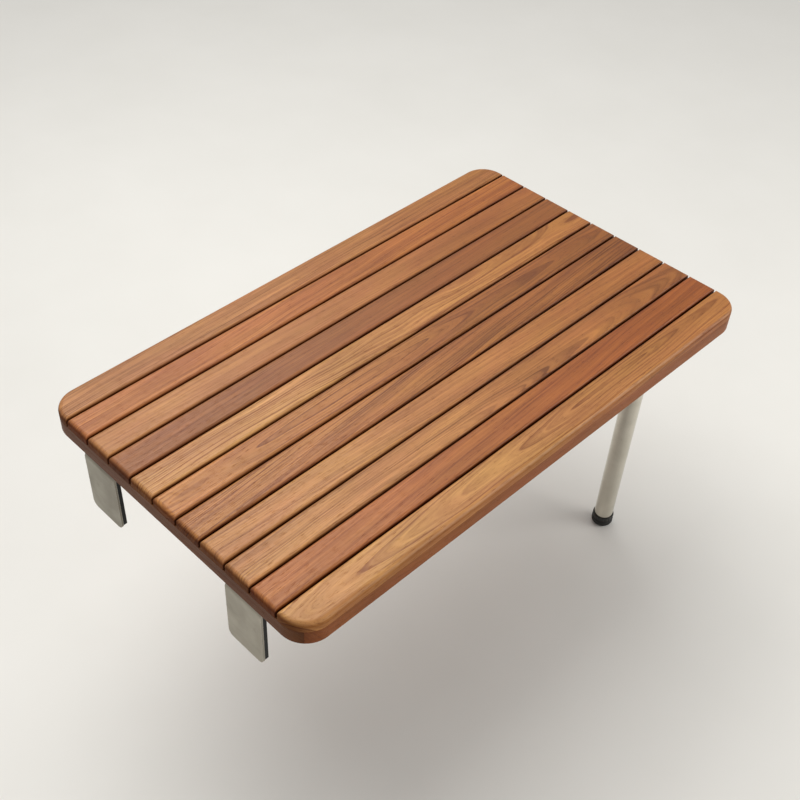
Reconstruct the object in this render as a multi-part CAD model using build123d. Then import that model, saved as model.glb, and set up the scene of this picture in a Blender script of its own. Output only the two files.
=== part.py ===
from build123d import *
import math
import os

# Slatted teak bathtub seat: two hook brackets at the rim end, two levelling legs at the wall end.
#
# Units are millimetres, +Z is up.  The origin is the middle of the seat's length and width,
# on the plane that the feet stand on.  The hook end is at -X, the leg end at +X.

# ---- seat ----
SEAT_LENGTH = 699.0          # along the slats
SEAT_HEIGHT = 398.0          # top of the slats above the feet, feet screwed right in
SLAT_COUNT = 11
SLAT_WIDTH = 35.0            # every slat but the two at the edges
EDGE_SLAT_WIDTH = 36.5
SLAT_GAP = 2.5
SLAT_THICKNESS = 11.5
CORNER_RADIUS = 31.0         # seat corners, seen from above
EDGE_ROUND = 6.0             # top outer edge of the seat
SLAT_EASE = 3.0              # top edges beside each gap
SLAT_END_EASE = 1.2          # upright corners at the slat ends

# ---- frame under the slats ----
FRAME_THICKNESS = 19.0
RAIL_WIDTH = 36.0
BATTEN_WIDTH = 64.0
BATTEN_CLEAR = 3.8           # end rail to the batten beside it
SEAM_EASE = 0.6              # rail top outer edge, under the slats
UNDER_EASE = 2.0             # rail bottom outer edge

# ---- wood dowels ----
DOWEL_DIAMETER = 5.0
MITRE_DOWEL_LENGTH = 28.0
BATTEN_DOWEL_LENGTH = 36.0
MITRE_DOWEL_SPREAD = 8.0     # between the two dowels in a mitre, up and down
BATTEN_DOWEL_SPREAD = 20.0   # between the two dowels in a batten end, along X

# ---- cross recess in every screw head ----
DRIVE_SLOT = 1.1
DRIVE_DEPTH = 1.5

# ---- slat screws, driven up through the frame ----
SLAT_SCREW_DIAMETER = 4.0
SLAT_SCREW_HEAD = 8.0
SLAT_SCREW_HEAD_HEIGHT = 2.6
SLAT_SCREW_DRIVE = 4.2       # across the cross recess
SLAT_SCREW_RECESS = 1.0      # head below the frame's underside
SLAT_SCREW_BITE = 7.0        # length inside the slat
EDGE_SCREW_INSET = 46.0      # seat end to an edge slat's first screw, clear of the mitre

# ---- hook brackets ----
BRACKET_SPACING = 236.0      # between the two bracket centre lines
BRACKET_WIDTH = 53.5
BRACKET_THICKNESS = 2.5
BRACKET_DROP = 83.0          # below the seat's underside
BRACKET_FLANGE = 100.0       # along the seat's underside
BRACKET_SETBACK = 1.0        # outer face behind the seat's end face
BRACKET_BEND = 5.0           # inner bend radius
BRACKET_TIP_RADIUS = 8.0     # corners at both ends of the strip

# ---- rubber liners inside the hooks ----
LINER_THICKNESS = 4.5
LINER_BEND = 0.5             # inner bend radius
LINER_TIP_RADIUS = 4.0
LINER_SHORT = 4.0            # liner ends short of the bracket at both tips

# ---- bracket screws ----
BRACKET_SCREW_DIAMETER = 5.0
BRACKET_SCREW_HEAD = 9.6
BRACKET_SCREW_HEAD_HEIGHT = 2.4
BRACKET_SCREW_DRIVE = 5.2
BRACKET_SCREW_BITE = 14.0
BRACKET_SCREW_SPREAD = 32.0  # across the bracket
BRACKET_SCREW_OUTER = 24.0   # seat end to the outer pair
BRACKET_SCREW_SHIFT = 16.0   # batten centre line to the inner pair

# ---- legs ----
TUBE_DIAMETER = 25.4
TUBE_WALL = 1.5
TUBE_END_ROUND = 0.4
FLANGE_SIDE = 62.0
FLANGE_CLEAR = 5.3           # side rail to the flange beside it
FLANGE_THICKNESS = 4.0
FLANGE_CORNER = 8.0
SPIGOT_LENGTH = 30.0
SPIGOT_WALL = 2.5
SPIGOT_CLEARANCE = 0.1       # radial, inside the tube
LEG_SCREW_SPREAD = 44.0      # square pattern
LEG_SCREW_DIAMETER = 5.0
LEG_SCREW_HEAD = 9.6
LEG_SCREW_HEAD_HEIGHT = 2.4
LEG_SCREW_DRIVE = 5.2
LEG_SCREW_BITE = 14.0

# ---- levelling feet ----
STEM_DIAMETER = 10.0         # thread drawn plain
STEM_CLEARANCE = 0.05        # radial, in the threaded insert
STEM_REACH = 46.0            # stem above the pad's ball centre
STEM_TIP_EASE = 1.0
INSERT_LENGTH = 20.0
INSERT_CLEARANCE = 0.02      # radial, pressed into the tube
INSERT_EASE = 0.8
FOOT_DIAMETER = 29.0
PAD_HEIGHT = 11.0
PAD_ROUND = 6.0              # domed lower edge
PAD_TOP_EASE = 0.8
PAD_GROOVE_RADIUS = 7.6
PAD_GROOVE_WIDTH = 1.2
PAD_GROOVE_DEPTH = 0.8
BALL_DIAMETER = 8.0
BALL_HEIGHT = 6.5            # ball centre above the floor
BALL_CLEARANCE = 0.05
NECK_DIAMETER = 5.0
NECK_CLEARANCE = 0.5
COLLAR_HEIGHT = 6.8
COLLAR_DIAMETER = 28.6
COLLAR_FLUTES = 16
COLLAR_FLUTE_RADIUS = 1.5
COLLAR_FLUTE_DEPTH = 0.5
COLLAR_EASE = 0.5
FOOT_GAP = 0.4               # pad to collar, and collar to tube

# ---- worked out from the sizes above ----
SEAT_WIDTH = (SLAT_COUNT - 2) * SLAT_WIDTH + 2 * EDGE_SLAT_WIDTH + (SLAT_COUNT - 1) * SLAT_GAP
HALF_LENGTH = SEAT_LENGTH / 2
HALF_WIDTH = SEAT_WIDTH / 2
SLAT_BOTTOM = SEAT_HEIGHT - SLAT_THICKNESS
UNDERSIDE = SLAT_BOTTOM - FRAME_THICKNESS
BRACKET_X = -HALF_LENGTH + BRACKET_SETBACK
BRACKET_TIP = UNDERSIDE - BRACKET_DROP
BATTEN_INSET = RAIL_WIDTH + BATTEN_CLEAR + BATTEN_WIDTH / 2
LEG_X = HALF_LENGTH - BATTEN_INSET
LEG_Y = HALF_WIDTH - RAIL_WIDTH - FLANGE_CLEAR - FLANGE_SIDE / 2
TUBE_BOTTOM = PAD_HEIGHT + COLLAR_HEIGHT + 2 * FOOT_GAP
TUBE_TOP = UNDERSIDE - FLANGE_THICKNESS
TUBE_BORE_RADIUS = TUBE_DIAMETER / 2 - TUBE_WALL
BATTEN_X = {"batten_hook": -LEG_X, "batten_middle": 0.0, "batten_leg": LEG_X}
SIDES = {"front": -1, "back": 1}


def box_between(x0, x1, y0, y1, z0, z1):
    """A plain box between two corners."""
    size = Box(x1 - x0, y1 - y0, z1 - z0, align=(Align.MIN, Align.MIN, Align.MIN))
    return Pos(x0, y0, z0) * size


def rod(radius, length):
    """A plain cylinder standing on the origin."""
    return Cylinder(radius, length, align=(Align.CENTER, Align.CENTER, Align.MIN))


def slat_spans():
    """Lowest and highest Y of every slat, from the front edge (-Y) to the back."""
    spans = []
    y = -HALF_WIDTH
    for number in range(SLAT_COUNT):
        at_edge = number in (0, SLAT_COUNT - 1)
        width = EDGE_SLAT_WIDTH if at_edge else SLAT_WIDTH
        spans.append((y, y + width))
        y += width + SLAT_GAP
    return spans


def slab(bottom, thickness):
    """The seat's rounded outline as one slab."""
    outline = RectangleRounded(SEAT_LENGTH, SEAT_WIDTH, CORNER_RADIUS)
    return extrude(Pos(0, 0, bottom) * outline, thickness)


def screw_blank(diameter, head, head_height, length):
    """A countersunk screw with no recess, standing on its head at the origin, its tip up."""
    taper = Cone(head / 2, diameter / 2, head_height, align=(Align.CENTER, Align.CENTER, Align.MIN))
    return rod(diameter / 2, length) + taper


def with_drive(blanks, across):
    """The screws with a cross recess of that width cut into each head."""
    bar = box_between(-across / 2, across / 2, -DRIVE_SLOT / 2, DRIVE_SLOT / 2, 0, DRIVE_DEPTH)
    cross = bar + Rot(0, 0, 90) * bar
    screws = []
    for blank in blanks:
        span = blank.bounding_box()
        screws.append(blank - Pos(span.center().X, span.center().Y, span.min.Z) * cross)
    return screws


def drill(piece, tools):
    """Cut only the tools that reach into the piece."""
    reach = piece.bounding_box()
    for tool in tools:
        span = tool.bounding_box()
        apart = (
            span.min.X > reach.max.X or span.max.X < reach.min.X
            or span.min.Y > reach.max.Y or span.max.Y < reach.min.Y
            or span.min.Z > reach.max.Z or span.max.Z < reach.min.Z
        )
        if not apart:
            piece = piece - tool
    return piece


def slat_screw_places():
    """Where a screw goes up into each slat: through both ends of the frame and every batten."""
    places = []
    for number, (y0, y1) in enumerate(slat_spans()):
        at_edge = number in (0, SLAT_COUNT - 1)
        end = HALF_LENGTH - (EDGE_SCREW_INSET if at_edge else RAIL_WIDTH / 2)
        places += [(x, (y0 + y1) / 2) for x in (-end, *BATTEN_X.values(), end)]
    return places


def slat_screws():
    """Every slat screw, its head sunk below the frame's underside."""
    length = FRAME_THICKNESS - SLAT_SCREW_RECESS + SLAT_SCREW_BITE
    one = screw_blank(SLAT_SCREW_DIAMETER, SLAT_SCREW_HEAD, SLAT_SCREW_HEAD_HEIGHT, length)
    return [Pos(x, y, UNDERSIDE + SLAT_SCREW_RECESS) * one for x, y in slat_screw_places()]


def screw_recesses():
    """The open counterbores below the slat screw heads."""
    hole = rod(SLAT_SCREW_HEAD / 2, SLAT_SCREW_RECESS)
    return [Pos(x, y, UNDERSIDE) * hole for x, y in slat_screw_places()]


def slat(y0, y1, top):
    """One slat: its strip with eased top edges, trimmed by the seat's rounded outline."""
    width = y1 - y0
    middle = (y0 + y1) / 2
    plan = Pos(0, middle, SLAT_BOTTOM) * RectangleRounded(SEAT_LENGTH, width, SLAT_END_EASE)
    strip = extrude(plan, SLAT_THICKNESS)
    long_edges = strip.edges().filter_by(Axis.X).group_by(Axis.Z)[-1]
    inner_edges = [edge for edge in long_edges if abs(edge.center().Y) < HALF_WIDTH - EDGE_ROUND]
    return fillet(inner_edges, SLAT_EASE) & top


def rail_blank():
    """The frame's solid outline before it is split into four rails."""
    block = slab(UNDERSIDE, FRAME_THICKNESS)
    block = fillet(block.faces().sort_by(Axis.Z)[0].edges(), UNDER_EASE)
    block = fillet(block.faces().sort_by(Axis.Z)[-1].edges(), SEAM_EASE)
    inner = box_between(
        -HALF_LENGTH + RAIL_WIDTH, HALF_LENGTH - RAIL_WIDTH,
        -HALF_WIDTH + RAIL_WIDTH, HALF_WIDTH - RAIL_WIDTH,
        UNDERSIDE - 1, SLAT_BOTTOM + 1,
    )
    return block - inner


def mitre_block(side, along_x):
    """A prism that takes one rail out of the frame, with 45 degree ends."""
    if along_x:
        corners = [
            (-HALF_LENGTH, side * HALF_WIDTH),
            (HALF_LENGTH, side * HALF_WIDTH),
            (HALF_LENGTH - HALF_WIDTH, 0),
            (-HALF_LENGTH + HALF_WIDTH, 0),
        ]
    else:
        corners = [
            (side * HALF_LENGTH, -HALF_WIDTH),
            (side * HALF_LENGTH, HALF_WIDTH),
            (side * (HALF_LENGTH - HALF_WIDTH), 0),
        ]
    face = make_face(Polyline(*corners, close=True))
    return extrude(Pos(0, 0, UNDERSIDE - 1) * face, FRAME_THICKNESS + 2)


def batten(x):
    """A flat cross piece between the two side rails."""
    inner = HALF_WIDTH - RAIL_WIDTH
    half = BATTEN_WIDTH / 2
    return box_between(x - half, x + half, -inner, inner, UNDERSIDE, SLAT_BOTTOM)


def mitre_dowels():
    """Two dowels square across each mitred corner."""
    arc_middle = CORNER_RADIUS * (1 - math.sqrt(0.5))
    depth = (arc_middle + RAIL_WIDTH) / 2
    peg = Cylinder(DOWEL_DIAMETER / 2, MITRE_DOWEL_LENGTH)
    level = UNDERSIDE + FRAME_THICKNESS / 2
    pegs = []
    for end in (-1, 1):
        for side in (-1, 1):
            for lift in (-0.5, 0.5):
                place = Pos(
                    end * (HALF_LENGTH - depth), side * (HALF_WIDTH - depth),
                    level + lift * MITRE_DOWEL_SPREAD,
                )
                pegs.append(place * Rot(0, 0, -45 * end * side) * Rot(0, 90, 0) * peg)
    return pegs


def batten_dowels():
    """Two dowels from each batten end into the side rail."""
    peg = Rot(90, 0, 0) * Cylinder(DOWEL_DIAMETER / 2, BATTEN_DOWEL_LENGTH)
    level = UNDERSIDE + FRAME_THICKNESS / 2
    pegs = []
    for x in BATTEN_X.values():
        for side in (-1, 1):
            for shift in (-0.5, 0.5):
                place = Pos(x + shift * BATTEN_DOWEL_SPREAD, side * (HALF_WIDTH - RAIL_WIDTH), level)
                pegs.append(place * peg)
    return pegs


def quarter(x0, z0, x1, z1, radius):
    """A rectangle in the XZ plane with the corner at (x0, z0) rounded."""
    face = make_face(Polyline((x0, z0), (x1, z0), (x1, z1), (x0, z1), close=True))
    return fillet(face.vertices().sort_by_distance((x0, z0))[0], radius)


def bent_strip(y, offset, thickness, outer_bend, inner_bend, flange_end, tip, tip_radius):
    """A bent strip of the bracket's width, offset inwards from the bracket's outer faces."""
    x0 = BRACKET_X + offset
    z0 = UNDERSIDE - offset
    outside = quarter(x0, z0, flange_end, tip, outer_bend)
    inside = quarter(x0 + thickness, z0 - thickness, flange_end, tip, inner_bend)
    strip = extrude(Plane.XZ * (outside - inside), BRACKET_WIDTH / 2, both=True)
    strip = fillet(strip.edges().filter_by(Axis.X).group_by(Axis.Z)[0], tip_radius)
    strip = fillet(strip.edges().filter_by(Axis.Z).group_by(Axis.X)[-1], tip_radius)
    return Pos(0, y, 0) * strip


def hook_bracket(y):
    """Stainless strip: a plate down over the rim and a flange under the seat."""
    return bent_strip(
        y, 0, BRACKET_THICKNESS, BRACKET_BEND + BRACKET_THICKNESS, BRACKET_BEND,
        BRACKET_X + BRACKET_FLANGE, BRACKET_TIP, BRACKET_TIP_RADIUS,
    )


def bracket_liner(y):
    """Rubber strip bonded inside the hook, following the bracket's bend."""
    return bent_strip(
        y, BRACKET_THICKNESS, LINER_THICKNESS, BRACKET_BEND, LINER_BEND,
        BRACKET_X + BRACKET_FLANGE - LINER_SHORT, BRACKET_TIP + LINER_SHORT, LINER_TIP_RADIUS,
    )


def bracket_screws(y):
    """Four countersunk screws through one flange, heads flush with its underside."""
    length = BRACKET_THICKNESS + BRACKET_SCREW_BITE
    one = screw_blank(
        BRACKET_SCREW_DIAMETER, BRACKET_SCREW_HEAD, BRACKET_SCREW_HEAD_HEIGHT, length,
    )
    level = UNDERSIDE - BRACKET_THICKNESS
    rows = (-HALF_LENGTH + BRACKET_SCREW_OUTER, BATTEN_X["batten_hook"] + BRACKET_SCREW_SHIFT)
    half = BRACKET_SCREW_SPREAD / 2
    return [Pos(x, y + side * half, level) * one for x in rows for side in (-1, 1)]


def leg_flange(y):
    """Square steel plate with a hollow spigot that the tube is pressed onto."""
    plate = extrude(RectangleRounded(FLANGE_SIDE, FLANGE_SIDE, FLANGE_CORNER), FLANGE_THICKNESS)
    outer = TUBE_BORE_RADIUS - SPIGOT_CLEARANCE
    spigot = rod(outer, SPIGOT_LENGTH) - rod(outer - SPIGOT_WALL, SPIGOT_LENGTH)
    return Pos(LEG_X, y, TUBE_TOP) * (plate + Pos(0, 0, -SPIGOT_LENGTH) * spigot)


def leg_screws(y):
    """Four countersunk screws up through one flange."""
    length = FLANGE_THICKNESS + LEG_SCREW_BITE
    one = screw_blank(LEG_SCREW_DIAMETER, LEG_SCREW_HEAD, LEG_SCREW_HEAD_HEIGHT, length)
    half = LEG_SCREW_SPREAD / 2
    return [Pos(LEG_X + u * half, y + v * half, TUBE_TOP) * one for u in (-1, 1) for v in (-1, 1)]


def leg_tube(y):
    """Round stainless tube from the flange down to the foot."""
    length = TUBE_TOP - TUBE_BOTTOM
    outside = rod(TUBE_DIAMETER / 2, length)
    outside = fillet(outside.edges().sort_by(Axis.Z)[0], TUBE_END_ROUND)
    return Pos(LEG_X, y, TUBE_BOTTOM) * (outside - rod(TUBE_BORE_RADIUS, length))


def leg_insert(y):
    """Threaded plug pressed into the tube's lower end; the thread is drawn plain."""
    plug = rod(TUBE_BORE_RADIUS - INSERT_CLEARANCE, INSERT_LENGTH)
    plug = chamfer(plug.edges().sort_by(Axis.Z)[-1], INSERT_EASE)
    bore = rod(STEM_DIAMETER / 2 + STEM_CLEARANCE, INSERT_LENGTH)
    return Pos(LEG_X, y, TUBE_BOTTOM) * (plug - bore)


def foot_stem(y):
    """Steel stem with a ball at its lower end that the pad swivels on."""
    shank_foot = PAD_HEIGHT + FOOT_GAP
    shank = rod(STEM_DIAMETER / 2, BALL_HEIGHT + STEM_REACH - shank_foot)
    shank = chamfer(shank.edges().sort_by(Axis.Z)[-1], STEM_TIP_EASE)
    neck = rod(NECK_DIAMETER / 2, shank_foot - BALL_HEIGHT)
    lower = Pos(0, 0, BALL_HEIGHT) * (Sphere(BALL_DIAMETER / 2) + neck)
    return Pos(LEG_X, y, 0) * (lower + Pos(0, 0, shank_foot) * shank)


def foot_collar(y):
    """Fluted nylon collar moulded on the stem, turned by hand to set the height."""
    disc = chamfer(rod(COLLAR_DIAMETER / 2, COLLAR_HEIGHT).edges(), COLLAR_EASE)
    reach = COLLAR_DIAMETER / 2 + COLLAR_FLUTE_RADIUS - COLLAR_FLUTE_DEPTH
    flute = rod(COLLAR_FLUTE_RADIUS, COLLAR_HEIGHT)
    disc = disc - [place * flute for place in PolarLocations(reach, COLLAR_FLUTES)]
    return Pos(LEG_X, y, PAD_HEIGHT + FOOT_GAP) * (disc - rod(STEM_DIAMETER / 2, COLLAR_HEIGHT))


def foot_pad(y):
    """Domed rubber pad with a ball socket and one tread groove."""
    pad = rod(FOOT_DIAMETER / 2, PAD_HEIGHT)
    pad = fillet(pad.edges().sort_by(Axis.Z)[0], PAD_ROUND)
    pad = fillet(pad.edges().sort_by(Axis.Z)[-1], PAD_TOP_EASE)
    socket = Pos(0, 0, BALL_HEIGHT) * Sphere(BALL_DIAMETER / 2 + BALL_CLEARANCE)
    throat = Pos(0, 0, BALL_HEIGHT) * rod(NECK_DIAMETER / 2 + NECK_CLEARANCE, PAD_HEIGHT)
    ring = rod(PAD_GROOVE_RADIUS + PAD_GROOVE_WIDTH / 2, PAD_GROOVE_DEPTH)
    groove = ring - rod(PAD_GROOVE_RADIUS - PAD_GROOVE_WIDTH / 2, PAD_GROOVE_DEPTH)
    return Pos(LEG_X, y, 0) * (pad - socket - throat - groove)


def wooden_parts(pieces):
    """Slats, rails and battens, drilled for every screw and dowel."""
    fixings = slat_screws()
    recesses = screw_recesses()
    mitre_pegs = mitre_dowels()
    batten_pegs = batten_dowels()
    long_screws = []
    for side in SIDES.values():
        long_screws += bracket_screws(side * BRACKET_SPACING / 2)
        long_screws += leg_screws(side * LEG_Y)

    top = slab(SLAT_BOTTOM, SLAT_THICKNESS)
    top = fillet(top.faces().sort_by(Axis.Z)[-1].edges(), EDGE_ROUND)
    for number, (y0, y1) in enumerate(slat_spans(), start=1):
        pieces[f"slat_{number:02d}"] = drill(slat(y0, y1, top), fixings)

    tools = fixings + recesses + mitre_pegs + batten_pegs + long_screws
    frame = rail_blank()
    for name, side in SIDES.items():
        pieces[f"side_rail_{name}"] = drill(frame & mitre_block(side, True), tools)
    pieces["end_rail_hook"] = drill(frame & mitre_block(-1, False), tools)
    pieces["end_rail_leg"] = drill(frame & mitre_block(1, False), tools)
    for name, x in BATTEN_X.items():
        pieces[name] = drill(batten(x), tools)

    pieces["slat_screws"] = with_drive(fixings, SLAT_SCREW_DRIVE)
    pieces["mitre_dowels"] = mitre_pegs
    pieces["batten_dowels"] = batten_pegs


def bracket_parts(pieces):
    """Hook brackets with their liners and screws."""
    screws = []
    for name, side in SIDES.items():
        y = side * BRACKET_SPACING / 2
        own = bracket_screws(y)
        pieces[f"hook_bracket_{name}"] = drill(hook_bracket(y), own)
        pieces[f"bracket_liner_{name}"] = bracket_liner(y)
        screws += own
    pieces["bracket_screws"] = with_drive(screws, BRACKET_SCREW_DRIVE)


def leg_parts(pieces):
    """Legs with their flanges, screws, threaded inserts and levelling feet."""
    screws = []
    for name, side in SIDES.items():
        y = side * LEG_Y
        own = leg_screws(y)
        pieces[f"leg_flange_{name}"] = drill(leg_flange(y), own)
        pieces[f"leg_tube_{name}"] = leg_tube(y)
        pieces[f"leg_insert_{name}"] = leg_insert(y)
        pieces[f"foot_stem_{name}"] = foot_stem(y)
        pieces[f"foot_collar_{name}"] = foot_collar(y)
        pieces[f"foot_pad_{name}"] = foot_pad(y)
        screws += own
    pieces["leg_screws"] = with_drive(screws, LEG_SCREW_DRIVE)


def build():
    """Every node of the seat, by name."""
    pieces = {}
    wooden_parts(pieces)
    bracket_parts(pieces)
    leg_parts(pieces)
    return pieces


def as_node(piece):
    """One compound for a node: a single piece, or a group of separate fasteners."""
    group = piece if isinstance(piece, list) else [piece]
    solids = [solid for item in group for solid in item.solids()]
    return Compound(children=solids) if len(solids) > 1 else solids[0]


os.makedirs("parts", exist_ok=True)
for node, piece in build().items():
    export_step(as_node(piece), f"parts/{node}.step")
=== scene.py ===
import bpy
import math
from mathutils import Matrix, Vector


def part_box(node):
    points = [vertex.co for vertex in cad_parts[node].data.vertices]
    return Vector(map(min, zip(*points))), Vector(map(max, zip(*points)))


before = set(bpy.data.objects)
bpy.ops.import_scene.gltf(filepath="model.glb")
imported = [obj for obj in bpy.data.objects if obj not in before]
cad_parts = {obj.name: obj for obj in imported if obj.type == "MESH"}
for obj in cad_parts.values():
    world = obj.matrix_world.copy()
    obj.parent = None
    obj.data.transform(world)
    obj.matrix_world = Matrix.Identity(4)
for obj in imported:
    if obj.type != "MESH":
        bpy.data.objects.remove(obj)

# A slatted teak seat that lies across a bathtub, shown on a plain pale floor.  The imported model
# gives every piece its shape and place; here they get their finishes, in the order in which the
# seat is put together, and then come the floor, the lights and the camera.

bpy.context.view_layer.update()


# ---------------------------------------------------------------------------------------------
# Teak slats.  Eleven planed and oiled teak strips run the long way, each from another board, so
# no two have the same tone or figure.  They are screwed from below, so nothing shows on top.
# ---------------------------------------------------------------------------------------------

def add(tree, kind, inputs=None, **settings):
    """A shader node of that kind: a socket given as an input is linked, anything else is set."""
    node = tree.nodes.new("ShaderNode" + kind)
    for key, value in settings.items():
        setattr(node, key, value)
    for key, value in (inputs or {}).items():
        if isinstance(value, bpy.types.NodeSocket):
            tree.links.new(value, node.inputs[key])
        else:
            node.inputs[key].default_value = value
    return node


def calc(tree, operation, *values, clamp=False):
    """The output of a math node."""
    return add(tree, "Math", dict(enumerate(values)), operation=operation, use_clamp=clamp).outputs[0]


def tint(tree, amount, under, over, mode="MIX"):
    """The colour of a mix node."""
    mix = add(tree, "Mix", data_type="RGBA", blend_type=mode)
    for place, value in ((0, amount), (6, under), (7, over)):
        if isinstance(value, bpy.types.NodeSocket):
            tree.links.new(value, mix.inputs[place])
        else:
            mix.inputs[place].default_value = value
    return mix.outputs[2]


def spread(tree, value, low, high, to_low=0.0, to_high=1.0):
    """A value mapped smoothly from one range to another."""
    node = add(
        tree, "MapRange", {0: value, 1: low, 2: high, 3: to_low, 4: to_high},
        interpolation_type="SMOOTHSTEP",
    )
    return node.outputs[0]


def noise(tree, place, seed, scale, detail=3.0, roughness=0.55, warp=0.0):
    """The value of a noise texture at a place, from 0 to 1."""
    node = add(
        tree, "TexNoise",
        {
            "Vector": place, "W": seed, "Scale": scale,
            "Detail": detail, "Roughness": roughness, "Distortion": warp,
        },
        noise_dimensions="4D",
    )
    return node.outputs[0]


def stretched(tree, place, x, y, z):
    """A place with each axis multiplied."""
    return add(tree, "VectorMath", {0: place, 1: (x, y, z)}, operation="MULTIPLY").outputs[0]


def new_group(name, inputs, outputs):
    """An empty shader node group with those sockets, and its input and output nodes."""
    tree = bpy.data.node_groups.new(name, "ShaderNodeTree")
    for label, kind, value in inputs:
        socket = tree.interface.new_socket(label, in_out="INPUT", socket_type="NodeSocket" + kind)
        if value is not None:
            socket.default_value = value
    for label, kind in outputs:
        tree.interface.new_socket(label, in_out="OUTPUT", socket_type="NodeSocket" + kind)
    return tree, tree.nodes.new("NodeGroupInput").outputs, tree.nodes.new("NodeGroupOutput").inputs


def place_group(tree, group, inputs):
    """A group node in a tree, with its inputs linked or set."""
    node = tree.nodes.new("ShaderNodeGroup")
    node.node_tree = group
    for key, value in inputs.items():
        if isinstance(value, bpy.types.NodeSocket):
            tree.links.new(value, node.inputs[key])
        else:
            node.inputs[key].default_value = value
    return node.outputs


def new_material(name):
    """A node material with its tree and its Principled shader."""
    material = bpy.data.materials.new(name)
    material.use_nodes = True
    tree = material.node_tree
    return material, tree, tree.nodes["Principled BSDF"]


def rgba(red, green, blue):
    """A colour from 0 to 255 display values, as the linear colour a shader takes."""
    shares = [value / 255 for value in (red, green, blue)]
    linear = [((share + 0.055) / 1.055) ** 2.4 if share > 0.04 else share / 12.92 for share in shares]
    return (*linear, 1.0)


WHITE = rgba(255, 255, 255)


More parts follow.
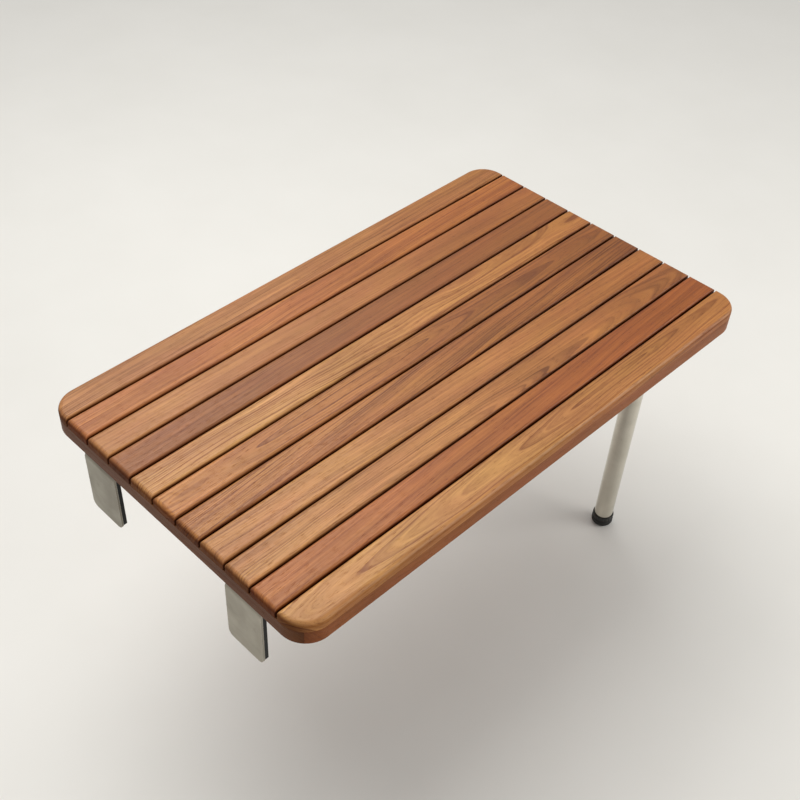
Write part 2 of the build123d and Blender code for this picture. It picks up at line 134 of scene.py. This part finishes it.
def build_teak_figure():
    """Growth rings, streaks and pores of a teak board whose grain runs along X, in metres."""
    tree, given, out = new_group(
        "teak figure",
        [
            ("Place", "Vector", None), ("Seed", "Float", 0.0),
            ("Pith Side", "Float", 0.05), ("Pith Depth", "Float", 0.02),
            ("Pith Drift", "Float", 0.0), ("Pith Dip", "Float", 0.0),
            ("Ring Width", "Float", 0.003), ("Waver", "Float", 0.5),
            ("Ring Strength", "Float", 0.5), ("Streak Strength", "Float", 0.5),
            ("Pale", "Color", rgba(205, 150, 100)), ("Deep", "Color", rgba(150, 95, 55)),
            ("Leg End", "Color", WHITE),
        ],
        [("Color", "Color"), ("Roughness", "Float"), ("Height", "Float")],
    )
    place, seed = given["Place"], given["Seed"]
    x, y, z = add(tree, "SeparateXYZ", {0: place}).outputs

    # distance from the pith, which drifts sideways and dips along the board
    slow = noise(tree, stretched(tree, place, 3.2, 16.0, 16.0), seed, 1.0, detail=2.0)
    reach = calc(tree, "MULTIPLY", given["Waver"], 0.03)
    waver = calc(tree, "MULTIPLY", calc(tree, "SUBTRACT", slow, 0.5), reach)
    pith_side = calc(tree, "MULTIPLY_ADD", x, given["Pith Drift"], given["Pith Side"])
    pith_depth = calc(tree, "MULTIPLY_ADD", x, given["Pith Dip"], given["Pith Depth"])
    side = calc(tree, "SUBTRACT", y, pith_side)
    depth = calc(tree, "ADD", z, pith_depth)
    flat = add(tree, "CombineXYZ", {0: side, 1: depth}).outputs[0]
    distance = add(tree, "VectorMath", {0: flat}, operation="LENGTH").outputs["Value"]
    radius = calc(tree, "ADD", distance, waver)

    # a dark late-wood line at the end of each ring, each ring its own strength
    rings = calc(tree, "DIVIDE", radius, given["Ring Width"])
    phase = calc(tree, "FRACT", rings)
    whole = add(tree, "CombineXYZ", {0: calc(tree, "FLOOR", rings), 1: seed}).outputs[0]
    strength = add(tree, "TexWhiteNoise", {0: whole}, noise_dimensions="3D").outputs[0]
    ring_share = spread(tree, strength, 0.1, 1.0, 0.1, 1.0)
    late = calc(tree, "MULTIPLY", calc(tree, "POWER", phase, 2.2), ring_share)
    late = calc(tree, "MULTIPLY", late, spread(tree, phase, 1.0, 0.88))

    # streaks that follow the rings, from broad bands down to single fibres, and open pores
    def streak(along_scale, across_scale, shift, detail, roughness):
        along = calc(tree, "MULTIPLY", x, along_scale)
        across = calc(tree, "MULTIPLY", radius, across_scale)
        down = calc(tree, "MULTIPLY", z, across_scale * 0.3)
        where = add(tree, "CombineXYZ", {0: along, 1: across, 2: down}).outputs[0]
        own_seed = calc(tree, "ADD", seed, shift)
        value = noise(tree, where, own_seed, 1.0, detail=detail, roughness=roughness)
        return calc(tree, "SUBTRACT", value, 0.5)

    broad = streak(2.2, 110.0, 0.0, 3.0, 0.6)
    fine = streak(9.0, 480.0, 7.3, 3.0, 0.65)
    hair = streak(22.0, 1300.0, 13.7, 2.0, 0.6)
    pore_place = stretched(tree, place, 90.0, 1500.0, 1500.0)
    pores = noise(tree, pore_place, calc(tree, "ADD", seed, 3.1), 1.0, detail=1.0)
    pore = spread(tree, pores, 0.58, 0.70)

    amount = calc(tree, "MULTIPLY_ADD", broad, 1.6, 0.42)
    amount = calc(tree, "MULTIPLY_ADD", fine, 1.7, amount)
    amount = calc(tree, "MULTIPLY_ADD", hair, 0.9, amount)
    amount = calc(tree, "MULTIPLY", amount, given["Streak Strength"])
    amount = calc(tree, "MULTIPLY_ADD", late, given["Ring Strength"], amount)
    amount = calc(tree, "MULTIPLY_ADD", pore, 0.38, amount, clamp=True)
    colour = tint(tree, amount, given["Pale"], given["Deep"])

    # clouds of tone drift along the board, redder here and yellower there, and the leg end is darker:
    # partly the board's own tone, partly a painted sheen left on the hook end
    cloud_place = stretched(tree, place, 7.0, 26.0, 26.0)
    cloud = noise(tree, cloud_place, calc(tree, "ADD", seed, 11.0), 1.0, detail=3.0)
    hue_place = stretched(tree, place, 9.0, 40.0, 40.0)
    hue = noise(tree, hue_place, calc(tree, "ADD", seed, 17.0), 1.0, detail=2.0)
    red = spread(tree, cloud, 0.25, 0.75, 0.90, 1.08)
    yellower = spread(tree, hue, 0.3, 0.7, 0.955, 1.045)
    green = calc(tree, "MULTIPLY", spread(tree, cloud, 0.25, 0.75, 0.87, 1.11), yellower)
    less_blue = spread(tree, hue, 0.3, 0.7, 1.03, 0.97)
    blue = calc(tree, "MULTIPLY", spread(tree, cloud, 0.25, 0.75, 0.84, 1.14), less_blue)
    drift = add(tree, "CombineColor", {0: red, 1: green, 2: blue}).outputs[0]
    colour = tint(tree, 1.0, colour, drift, "MULTIPLY")
    end = spread(tree, x, -0.36, 0.36)
    colour = tint(tree, 1.0, colour, tint(tree, end, WHITE, given["Leg End"]), "MULTIPLY")
    tree.links.new(colour, out["Color"])

    rough = calc(tree, "MULTIPLY_ADD", fine, 0.25, 0.44)
    tree.links.new(calc(tree, "MULTIPLY_ADD", pore, 0.12, rough), out["Roughness"])
    height = calc(tree, "SUBTRACT", calc(tree, "MULTIPLY", hair, 0.8), pore)
    tree.links.new(calc(tree, "SUBTRACT", height, calc(tree, "MULTIPLY", late, 0.6)), out["Height"])
    return tree


def build_gap_shade():
    """A mask for painted shade down the sides of the slats in the gaps, and one for the end grain."""
    tree, given, out = new_group(
        "gap shade",
        [
            ("Place", "Vector", None), ("Grain Normal", "Vector", None),
            ("Front Gap", "Float", 1.0), ("Back Gap", "Float", 1.0),
        ],
        [("Painted Gap Shade", "Float"), ("End Grain", "Float")],
    )
    x, y, z = add(tree, "SeparateXYZ", {0: given["Place"]}).outputs
    towards = add(tree, "SeparateXYZ", {0: given["Grain Normal"]}).outputs
    sideways = spread(tree, calc(tree, "ABSOLUTE", towards[1]), 0.35, 0.95)
    at_back = calc(tree, "GREATER_THAN", y, 0.0)
    beside_gap = tint(tree, at_back, given["Front Gap"], given["Back Gap"])
    patches = noise(tree, given["Place"], 4.0, 60.0, detail=2.0)
    depth = spread(tree, z, -0.0006, -0.0050)
    painted_gap_shade = calc(tree, "MULTIPLY", calc(tree, "MULTIPLY", sideways, depth), beside_gap)
    patchy = spread(tree, patches, 0.2, 0.7, 0.75, 1.0)
    tree.links.new(calc(tree, "MULTIPLY", painted_gap_shade, patchy), out["Painted Gap Shade"])
    tree.links.new(spread(tree, calc(tree, "ABSOLUTE", towards[0]), 0.45, 0.95), out["End Grain"])
    return tree


# teak takes this mask for painted shade on its edges, steel for a painted highlight on its edges, and
# rubber for real rubbed wear
def build_edge_wear_and_light():
    """A mask that is 1 on sharp and rounded edges and 0 on flat faces, broken up by noise."""
    tree, given, out = new_group(
        "edge wear and light",
        [
            ("Place", "Vector", None), ("Width", "Float", 0.002),
            ("Breakup", "Float", 300.0), ("Seed", "Float", 0.0),
        ],
        [("Mask", "Float")],
    )
    rounded = add(tree, "Bevel", {"Radius": given["Width"]}, samples=4).outputs[0]
    true = add(tree, "NewGeometry").outputs["Normal"]
    dot = add(tree, "VectorMath", {0: rounded, 1: true}, operation="DOT_PRODUCT").outputs["Value"]
    edge = spread(tree, dot, 0.995, 0.86)
    patches = noise(tree, given["Place"], given["Seed"], given["Breakup"], detail=2.0)
    tree.links.new(calc(tree, "MULTIPLY", edge, spread(tree, patches, 0.3, 0.6, 0.35, 1.0)), out["Mask"])
    return tree


teak_figure = build_teak_figure()
gap_shade = build_gap_shade()
edge_wear_and_light = build_edge_wear_and_light()


def teak(name, seed, centre, turn=0.0, bump=0.00015, gaps=(0.0, 0.0), **figure):
    """Oiled teak for one piece: its board's middle is at centre, its grain turned from X."""
    material, tree, shader = new_material(name)
    coordinates = add(tree, "TexCoord").outputs
    place, facing = coordinates["Object"], coordinates["Normal"]
    local = add(
        tree, "Mapping", {"Vector": place, "Location": centre, "Rotation": (0.0, 0.0, turn)},
        vector_type="TEXTURE",
    ).outputs[0]
    normal = add(
        tree, "Mapping", {"Vector": facing, "Rotation": (0.0, 0.0, -turn)}, vector_type="NORMAL",
    ).outputs[0]
    inputs = {key.replace("_", " ").title(): value for key, value in figure.items()}
    grain = place_group(tree, teak_figure, {"Place": local, "Seed": seed, **inputs})
    masks = place_group(
        tree, gap_shade,
        {"Place": local, "Grain Normal": normal, "Front Gap": gaps[0], "Back Gap": gaps[1]},
    )
    edge_wear_and_light_inputs = {"Place": place, "Width": 0.0016, "Breakup": 90.0, "Seed": seed}
    edge_light_and_shade = place_group(tree, edge_wear_and_light, edge_wear_and_light_inputs)["Mask"]
    topside = spread(tree, add(tree, "SeparateXYZ", {0: facing}).outputs[2], 0.25, 0.85)

    colour = grain["Color"]
    for mask, shade in (
        # the sides are painted darker than the top: painted shade
        (calc(tree, "SUBTRACT", 1.0, topside), rgba(220, 206, 196)),
        # the rounded edges are painted darker: painted shade
        (calc(tree, "MULTIPLY", edge_light_and_shade, 0.25), rgba(205, 190, 180)),
        # the end grain is darker, partly its own tone and partly painted shade
        (masks["End Grain"], rgba(182, 166, 150)),
        # the sides down in the gaps are painted darker, patchy along them: painted shade
        (masks["Painted Gap Shade"], rgba(120, 84, 62)),
    ):
        colour = tint(tree, mask, colour, tint(tree, 1.0, colour, shade, "MULTIPLY"))
    tree.links.new(colour, shader.inputs["Base Color"])
    rough = calc(tree, "MULTIPLY_ADD", masks["End Grain"], 0.25, grain["Roughness"])
    tree.links.new(calc(tree, "MULTIPLY_ADD", masks["Painted Gap Shade"], 0.25, rough), shader.inputs["Roughness"])
    relief = add(tree, "Bump", {"Height": grain["Height"], "Distance": bump, "Strength": 0.7})
    tree.links.new(relief.outputs[0], shader.inputs["Normal"])
    # the top is rubbed to a sheen with oil and the sides are left dry
    tree.links.new(spread(tree, topside, 0.0, 1.0, 0.12, 0.42), shader.inputs["Specular IOR Level"])
    return material


def finish_node(name, material):
    """Gives a carried-over piece its finish."""
    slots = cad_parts[name].data.materials
    for number in range(len(slots)):
        slots[number] = material


# the teak tones in the stack that the slats were cut from, each a pale and a deep colour
GOLDEN = dict(pale=rgba(210, 155, 90), deep=rgba(135, 80, 35))
TAN = dict(pale=rgba(200, 140, 80), deep=rgba(125, 75, 35))
LIGHT_BROWN = dict(pale=rgba(185, 125, 70), deep=rgba(120, 70, 30))
ORANGE = dict(pale=rgba(195, 130, 65), deep=rgba(115, 60, 25))
RED_BROWN = dict(pale=rgba(185, 115, 55), deep=rgba(120, 60, 25))
DARK_BROWN = dict(pale=rgba(155, 95, 45), deep=rgba(105, 55, 25))

# the leg end is darker than the hook end, partly the boards' own tone and partly a painted sheen on the
# hook end: usual, strong, slight
DARKER = rgba(220, 200, 180)
MUCH_DARKER = rgba(200, 185, 175)
LITTLE_DARKER = rgba(240, 235, 225)

# front to back: tone, leg end, where the pith lies and how it drifts, rings and streaks
SLAT_BOARDS = [
    dict(GOLDEN, leg_end=DARKER, pith_side=0.004, pith_depth=0.006, pith_drift=0.01, pith_dip=-0.045,
         ring_width=0.0030, waver=0.6, ring_strength=1.0, streak_strength=0.75),
    dict(RED_BROWN, leg_end=DARKER, pith_side=0.09, pith_depth=0.03, pith_drift=0.05, pith_dip=0.0,
         ring_width=0.0028, waver=0.5, ring_strength=0.5, streak_strength=0.8),
    dict(TAN, leg_end=DARKER, pith_side=-0.012, pith_depth=0.012, pith_drift=0.02, pith_dip=0.05,
         ring_width=0.0026, waver=0.6, ring_strength=0.9, streak_strength=0.8),
    dict(TAN, leg_end=DARKER, pith_side=0.12, pith_depth=0.05, pith_drift=-0.03, pith_dip=0.0,
         ring_width=0.0030, waver=0.4, ring_strength=0.45, streak_strength=0.7),
    dict(ORANGE, leg_end=MUCH_DARKER, pith_side=-0.10, pith_depth=0.03, pith_drift=0.06, pith_dip=0.0,
         ring_width=0.0024, waver=0.5, ring_strength=0.7, streak_strength=0.9),
    dict(ORANGE, leg_end=MUCH_DARKER, pith_side=0.002, pith_depth=0.004, pith_drift=0.0, pith_dip=0.04,
         ring_width=0.0030, waver=0.7, ring_strength=0.8, streak_strength=0.8),
    dict(GOLDEN, leg_end=DARKER, pith_side=0.02, pith_depth=0.018, pith_drift=-0.03, pith_dip=0.02,
         ring_width=0.0026, waver=0.9, ring_strength=0.8, streak_strength=0.9),
    dict(DARK_BROWN, leg_end=LITTLE_DARKER, pith_side=-0.14, pith_depth=0.04, pith_drift=0.02, pith_dip=0.0,
         ring_width=0.0022, waver=0.4, ring_strength=0.45, streak_strength=0.7),
    dict(LIGHT_BROWN, leg_end=DARKER, pith_side=0.15, pith_depth=0.05, pith_drift=-0.02, pith_dip=0.0,
         ring_width=0.0028, waver=0.4, ring_strength=0.4, streak_strength=0.65),
    dict(RED_BROWN, leg_end=LITTLE_DARKER, pith_side=-0.11, pith_depth=0.03, pith_drift=0.04, pith_dip=0.0,
         ring_width=0.0026, waver=0.5, ring_strength=0.55, streak_strength=0.85),
    dict(LIGHT_BROWN, leg_end=LITTLE_DARKER, pith_side=0.10, pith_depth=0.03, pith_drift=0.02, pith_dip=0.0,
         ring_width=0.0022, waver=0.4, ring_strength=0.7, streak_strength=0.9),
]

for number, board in enumerate(SLAT_BOARDS, start=1):
    node = f"slat_{number:02d}"
    low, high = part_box(node)
    middle = ((low.x + high.x) / 2, (low.y + high.y) / 2, high.z)
    gaps = (float(number > 1), float(number < len(SLAT_BOARDS)))
    finish_node(node, teak(f"teak {node}", 5.0 * number, middle, gaps=gaps, **board))


# ---------------------------------------------------------------------------------------------
# Frame.  Four teak rails mitred at the corners and three flat battens between them lie flush
# under the slats.  They are glued and dowelled, and are given a darker tone than the slats,
# partly their own and partly painted shade for their sides.
# ---------------------------------------------------------------------------------------------

ALONG = 0.0
ACROSS = math.pi / 2


def frame_piece(node, seed, turn, **figure):
    """Teak for one piece of the frame, with its grain turned from X."""
    low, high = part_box(node)
    middle = tuple((low + high) / 2)
    boards = dict(
        pale=rgba(164, 102, 52), deep=rgba(108, 57, 25), pith_side=0.07, pith_depth=0.03, pith_drift=0.02,
        pith_dip=0.0, ring_width=0.0026, waver=0.5, ring_strength=0.4, streak_strength=0.5,
    )
    boards.update(figure)
    finish_node(node, teak(f"teak {node}", seed, middle, turn=turn, **boards))


frame_piece("side_rail_front", 61.0, ALONG)
frame_piece("side_rail_back", 66.0, ALONG)
# the hook end rail is darker than the other rails: painted shade on the end turned from the light
frame_piece("end_rail_hook", 71.0, ACROSS, pale=rgba(128, 78, 34), deep=rgba(84, 44, 17))
frame_piece("end_rail_leg", 76.0, ACROSS)
for number, node in enumerate(("batten_hook", "batten_middle", "batten_leg")):
    frame_piece(node, 81.0 + 5 * number, ACROSS)
for number, node in enumerate(("mitre_dowels", "batten_dowels")):
    frame_piece(node, 101.0 + 5 * number, ALONG, pale=rgba(214, 186, 146), deep=rgba(190, 158, 116))


# ---------------------------------------------------------------------------------------------
# Hook brackets.  Satin brushed stainless strip, 3 mm thick, bent once over a form: the plate
# hangs down outside the tub's wall and the flange is screwed under the seat.
# ---------------------------------------------------------------------------------------------

def build_brushed_steel():
    """Fine brush lines along one axis, with faint smears and water marks."""
    tree, given, out = new_group(
        "brushed steel",
        [
            ("Place", "Vector", None), ("Seed", "Float", 0.0), ("Lines", "Vector", (900.0, 900.0, 12.0)),
            ("Steel", "Color", rgba(200, 198, 194)), ("Smear", "Color", rgba(168, 165, 160)),
            ("Gloss", "Float", 0.3),
        ],
        [("Color", "Color"), ("Roughness", "Float"), ("Height", "Float")],
    )
    place, seed = given["Place"], given["Seed"]
    fine_place = add(tree, "VectorMath", {0: place, 1: given["Lines"]}, operation="MULTIPLY").outputs[0]
    fine = noise(tree, fine_place, seed, 1.0, detail=3.0, roughness=0.7)
    smear = noise(tree, place, calc(tree, "ADD", seed, 4.0), 22.0, detail=3.0, warp=0.6)
    marks = noise(tree, place, calc(tree, "ADD", seed, 8.0), 110.0, detail=2.0)
    spots = calc(tree, "MULTIPLY", spread(tree, marks, 0.62, 0.74), 0.35)
    amount = calc(tree, "ADD", spread(tree, smear, 0.3, 0.75), spots, clamp=True)
    colour = tint(tree, amount, given["Steel"], given["Smear"])
    brushed = tint(tree, 1.0, colour, rgba(190, 188, 184), "MULTIPLY")
    colour = tint(tree, calc(tree, "MULTIPLY", fine, 0.25), colour, brushed)
    tree.links.new(colour, out["Color"])
    line_rough = calc(tree, "MULTIPLY", calc(tree, "SUBTRACT", fine, 0.5), 0.14)
    rough = calc(tree, "ADD", given["Gloss"], line_rough)
    tree.links.new(calc(tree, "ADD", rough, calc(tree, "MULTIPLY", amount, 0.07)), out["Roughness"])
    tree.links.new(fine, out["Height"])
    return tree


brushed_steel = build_brushed_steel()


def steel(
    name, seed, lines, gloss=0.3, bump=0.00002, tone=(200, 198, 194), smear=(168, 165, 160), edge_light_and_shade=0.5,
):
    """Stainless steel brushed so that its lines run along the axis with the smallest number."""
    material, tree, shader = new_material(name)
    place = add(tree, "TexCoord").outputs["Object"]
    brushed = place_group(
        tree, brushed_steel,
        {
            "Place": place, "Seed": seed, "Lines": lines,
            "Steel": rgba(*tone), "Smear": rgba(*smear), "Gloss": gloss,
        },
    )
    edge_wear_and_light_inputs = {"Place": place, "Width": 0.0008, "Breakup": 240.0, "Seed": seed}
    edge = place_group(tree, edge_wear_and_light, edge_wear_and_light_inputs)["Mask"]
    # the edges are painted lighter: a painted highlight
    colour = tint(tree, calc(tree, "MULTIPLY", edge, edge_light_and_shade), brushed["Color"], rgba(236, 235, 232))
    tree.links.new(colour, shader.inputs["Base Color"])
    tree.links.new(brushed["Roughness"], shader.inputs["Roughness"])
    relief = add(tree, "Bump", {"Height": brushed["Height"], "Distance": bump, "Strength": 0.5})
    tree.links.new(relief.outputs[0], shader.inputs["Normal"])
    shader.inputs["Metallic"].default_value = 1.0
    return material


# the back bracket is given a darker tone than the front one: painted shade
BRACKET_TONES = {
    "front": dict(tone=(176, 170, 157), smear=(158, 152, 139)),
    "back": dict(tone=(160, 155, 142), smear=(144, 138, 126)),
}
BRUSHED_ACROSS_SEAT = (900.0, 14.0, 900.0)

for number, (end, tones) in enumerate(BRACKET_TONES.items()):
    finish_node(
        f"hook_bracket_{end}",
        steel(f"bracket steel {end}", 120.0 + 5 * number, BRUSHED_ACROSS_SEAT, gloss=0.42, **tones),
    )


# ---------------------------------------------------------------------------------------------
# Rubber liners.  Black rubber strip bonded inside each hook, so that steel never touches the
# tub.  Matte, faintly mottled, greyer where the edges have rubbed.
# ---------------------------------------------------------------------------------------------

def build_moulded_black():
    """Black rubber or nylon: mottled tone, a fine moulded grain, and dust that has settled."""
    tree, given, out = new_group(
        "moulded black",
        [
            ("Place", "Vector", None), ("Seed", "Float", 0.0),
            ("Grain", "Float", 1800.0), ("Matte", "Float", 0.7),
        ],
        [("Color", "Color"), ("Roughness", "Float"), ("Height", "Float")],
    )
    place, seed = given["Place"], given["Seed"]
    mottle = noise(tree, place, seed, 60.0, detail=4.0)
    grain = noise(tree, place, calc(tree, "ADD", seed, 2.0), given["Grain"], detail=2.0)
    dust = spread(tree, mottle, 0.42, 0.8, 0.0, 0.6)
    colour = tint(tree, dust, rgba(26, 26, 25), rgba(58, 57, 54))
    tree.links.new(colour, out["Color"])
    patches = calc(tree, "MULTIPLY", calc(tree, "SUBTRACT", mottle, 0.5), 0.3)
    tree.links.new(calc(tree, "ADD", given["Matte"], patches), out["Roughness"])
    tree.links.new(grain, out["Height"])
    return tree


moulded_black = build_moulded_black()


def black_moulding(name, seed, grain, matte, bump):
    """Black rubber or nylon with a rubbed, greyer edge."""
    material, tree, shader = new_material(name)
    place = add(tree, "TexCoord").outputs["Object"]
    moulding = {"Place": place, "Seed": seed, "Grain": grain, "Matte": matte}
    body = place_group(tree, moulded_black, moulding)
    edge_wear_and_light_inputs = {"Place": place, "Width": 0.0007, "Breakup": 300.0, "Seed": seed}
    edge = place_group(tree, edge_wear_and_light, edge_wear_and_light_inputs)["Mask"]
    colour = tint(tree, calc(tree, "MULTIPLY", edge, 0.45), body["Color"], rgba(92, 90, 86))
    tree.links.new(colour, shader.inputs["Base Color"])
    tree.links.new(body["Roughness"], shader.inputs["Roughness"])
    relief = add(tree, "Bump", {"Height": body["Height"], "Distance": bump, "Strength": 0.5})
    tree.links.new(relief.outputs[0], shader.inputs["Normal"])
    shader.inputs["Specular IOR Level"].default_value = 0.35
    return material


for number, end in enumerate(("front", "back")):
    finish_node(
        f"bracket_liner_{end}",
        black_moulding(f"liner rubber {end}", 140.0 + number, 1500.0, 0.78, 0.00008),
    )


# ---------------------------------------------------------------------------------------------
# Screws.  Bright stainless countersunk screws with a cross recess, all driven from below.
# ---------------------------------------------------------------------------------------------

for number, node in enumerate(("slat_screws", "bracket_screws", "leg_screws")):
    finish_node(node, steel(f"{node} steel", 150.0 + number, (500.0, 500.0, 500.0), gloss=0.28))


# ---------------------------------------------------------------------------------------------
# Legs.  A square flange is screwed under the leg batten and a one inch stainless tube, polished
# along its length to a satin finish, is pressed onto its spigot.
# ---------------------------------------------------------------------------------------------

SATIN_TUBE = dict(gloss=0.14, tone=(216, 211, 198), smear=(198, 192, 179), edge_light_and_shade=0.3)
BRUSHED_ALONG_SEAT = (14.0, 900.0, 900.0)
POLISHED_ALONG_TUBE = (700.0, 700.0, 5.0)
TURNED = (400.0, 400.0, 400.0)

for number, end in enumerate(("front", "back")):
    finish_node(
        f"leg_flange_{end}",
        steel(f"flange steel {end}", 160.0 + number, BRUSHED_ALONG_SEAT, gloss=0.36),
    )
    finish_node(
        f"leg_tube_{end}",
        steel(f"tube steel {end}", 170.0 + number, POLISHED_ALONG_TUBE, **SATIN_TUBE),
    )
    finish_node(f"leg_insert_{end}", steel(f"insert steel {end}", 180.0 + number, TURNED, gloss=0.4))


# ---------------------------------------------------------------------------------------------
# Levelling feet.  Turning the black nylon collar screws the steel stem in or out of the tube,
# and the domed rubber pad on its ball end rises or sinks without turning.
# ---------------------------------------------------------------------------------------------

THREAD_TURNS = (60.0, 60.0, 4000.0)

for number, end in enumerate(("front", "back")):
    finish_node(
        f"foot_stem_{end}",
        steel(f"stem steel {end}", 190.0 + number, THREAD_TURNS, gloss=0.3, bump=0.0001),
    )
    finish_node(
        f"foot_collar_{end}",
        black_moulding(f"collar nylon {end}", 200.0 + number, 2600.0, 0.45, 0.00003),
    )
    finish_node(
        f"foot_pad_{end}",
        black_moulding(f"pad rubber {end}", 210.0 + number, 1400.0, 0.72, 0.00008),
    )


# ---------------------------------------------------------------------------------------------
# Floor.  A plain, pale, slightly uneven matte floor laid flat as one sheet.
# ---------------------------------------------------------------------------------------------

FLOOR_REACH = 6.0
FLOOR_DIVISIONS = 8

floor_mesh = bpy.data.meshes.new("floor")
steps = [FLOOR_REACH * (2 * i / FLOOR_DIVISIONS - 1) for i in range(FLOOR_DIVISIONS + 1)]
corners = [(x, y, 0.0) for y in steps for x in steps]
row = FLOOR_DIVISIONS + 1
faces = [
    (a, a + 1, a + row + 1, a + row)
    for a in (j * row + i for j in range(FLOOR_DIVISIONS) for i in range(FLOOR_DIVISIONS))
]
floor_mesh.from_pydata(corners, [], faces)
floor = bpy.data.objects.new("floor", floor_mesh)
bpy.context.scene.collection.objects.link(floor)

floor_finish, tree, shader = new_material("pale floor")
place = add(tree, "TexCoord").outputs["Object"]
mottle = noise(tree, place, 1.0, 5.0, detail=3.0)
tree.links.new(tint(tree, mottle, rgba(222, 221, 216), rgba(230, 229, 225)), shader.inputs["Base Color"])
shader.inputs["Roughness"].default_value = 0.5
floor_mesh.materials.append(floor_finish)


# ---------------------------------------------------------------------------------------------
# Light.  A soft bright room: a broad ceiling light behind the seat, a window light that puts the
# sheen on the hook end, a low fill at the right for the legs, and an even pale surround.
# ---------------------------------------------------------------------------------------------

def area_light(name, place, target, width, height, power, colour):
    """A rectangular light at a place, facing a target."""
    lamp = bpy.data.lights.new(name, "AREA")
    lamp.shape = "RECTANGLE"
    lamp.size, lamp.size_y = width, height
    lamp.energy = power
    lamp.color = colour
    holder = bpy.data.objects.new(name, lamp)
    holder.location = place
    holder.rotation_euler = (Vector(target) - Vector(place)).to_track_quat("-Z", "Y").to_euler()
    bpy.context.scene.collection.objects.link(holder)


area_light("ceiling", (0.1, 1.0, 2.6), (0.0, 0.0, 0.3), 2.6, 2.2, 40.0, (1.0, 0.99, 0.97))
area_light("window", (0.05, 0.75, 1.45), (-0.2, 0.0, 0.4), 0.9, 0.7, 5.0, (1.0, 0.98, 0.94))
area_light("right fill", (1.5, -1.9, 0.9), (0.3, -0.3, 0.1), 1.6, 1.4, 30.0, (1.0, 0.99, 0.97))

world = bpy.data.worlds.new("pale room")
world.use_nodes = True
surround = world.node_tree.nodes["Background"].inputs
surround["Color"].default_value = (1.0, 0.985, 0.965, 1.0)
surround["Strength"].default_value = 0.48
bpy.context.scene.world = world
bpy.context.scene.view_settings.view_transform = "Standard"


# ---------------------------------------------------------------------------------------------
# Camera.  It stands off the hook end's front corner and looks down across the seat.
# ---------------------------------------------------------------------------------------------

CAMERA_AZIMUTH = math.radians(-43.63)
CAMERA_ELEVATION = math.radians(44.72)
CAMERA_ROLL = math.radians(0.72)
CAMERA_DISTANCE = 1.2413
CAMERA_AIM = Vector((-0.1408, -0.0319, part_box("slat_06")[1].z))

back = Vector((
    math.sin(CAMERA_AZIMUTH) * math.cos(CAMERA_ELEVATION),
    -math.cos(CAMERA_AZIMUTH) * math.cos(CAMERA_ELEVATION),
    math.sin(CAMERA_ELEVATION),
))
level_right = Vector((math.cos(CAMERA_AZIMUTH), math.sin(CAMERA_AZIMUTH), 0.0))
right = Matrix.Rotation(CAMERA_ROLL, 3, back) @ level_right
up = back.cross(right)
camera_data = bpy.data.cameras.new("camera")
camera_data.lens = 52.94
camera_data.sensor_width = 36.0
camera_data.shift_x = 0.0750
camera_data.shift_y = 0.0300
camera = bpy.data.objects.new("camera", camera_data)
axes = Matrix((right, up, back)).transposed().to_4x4()
camera.matrix_world = Matrix.Translation(CAMERA_AIM + back * CAMERA_DISTANCE) @ axes
bpy.context.scene.collection.objects.link(camera)
bpy.context.scene.camera = camera

bpy.context.view_layer.update()
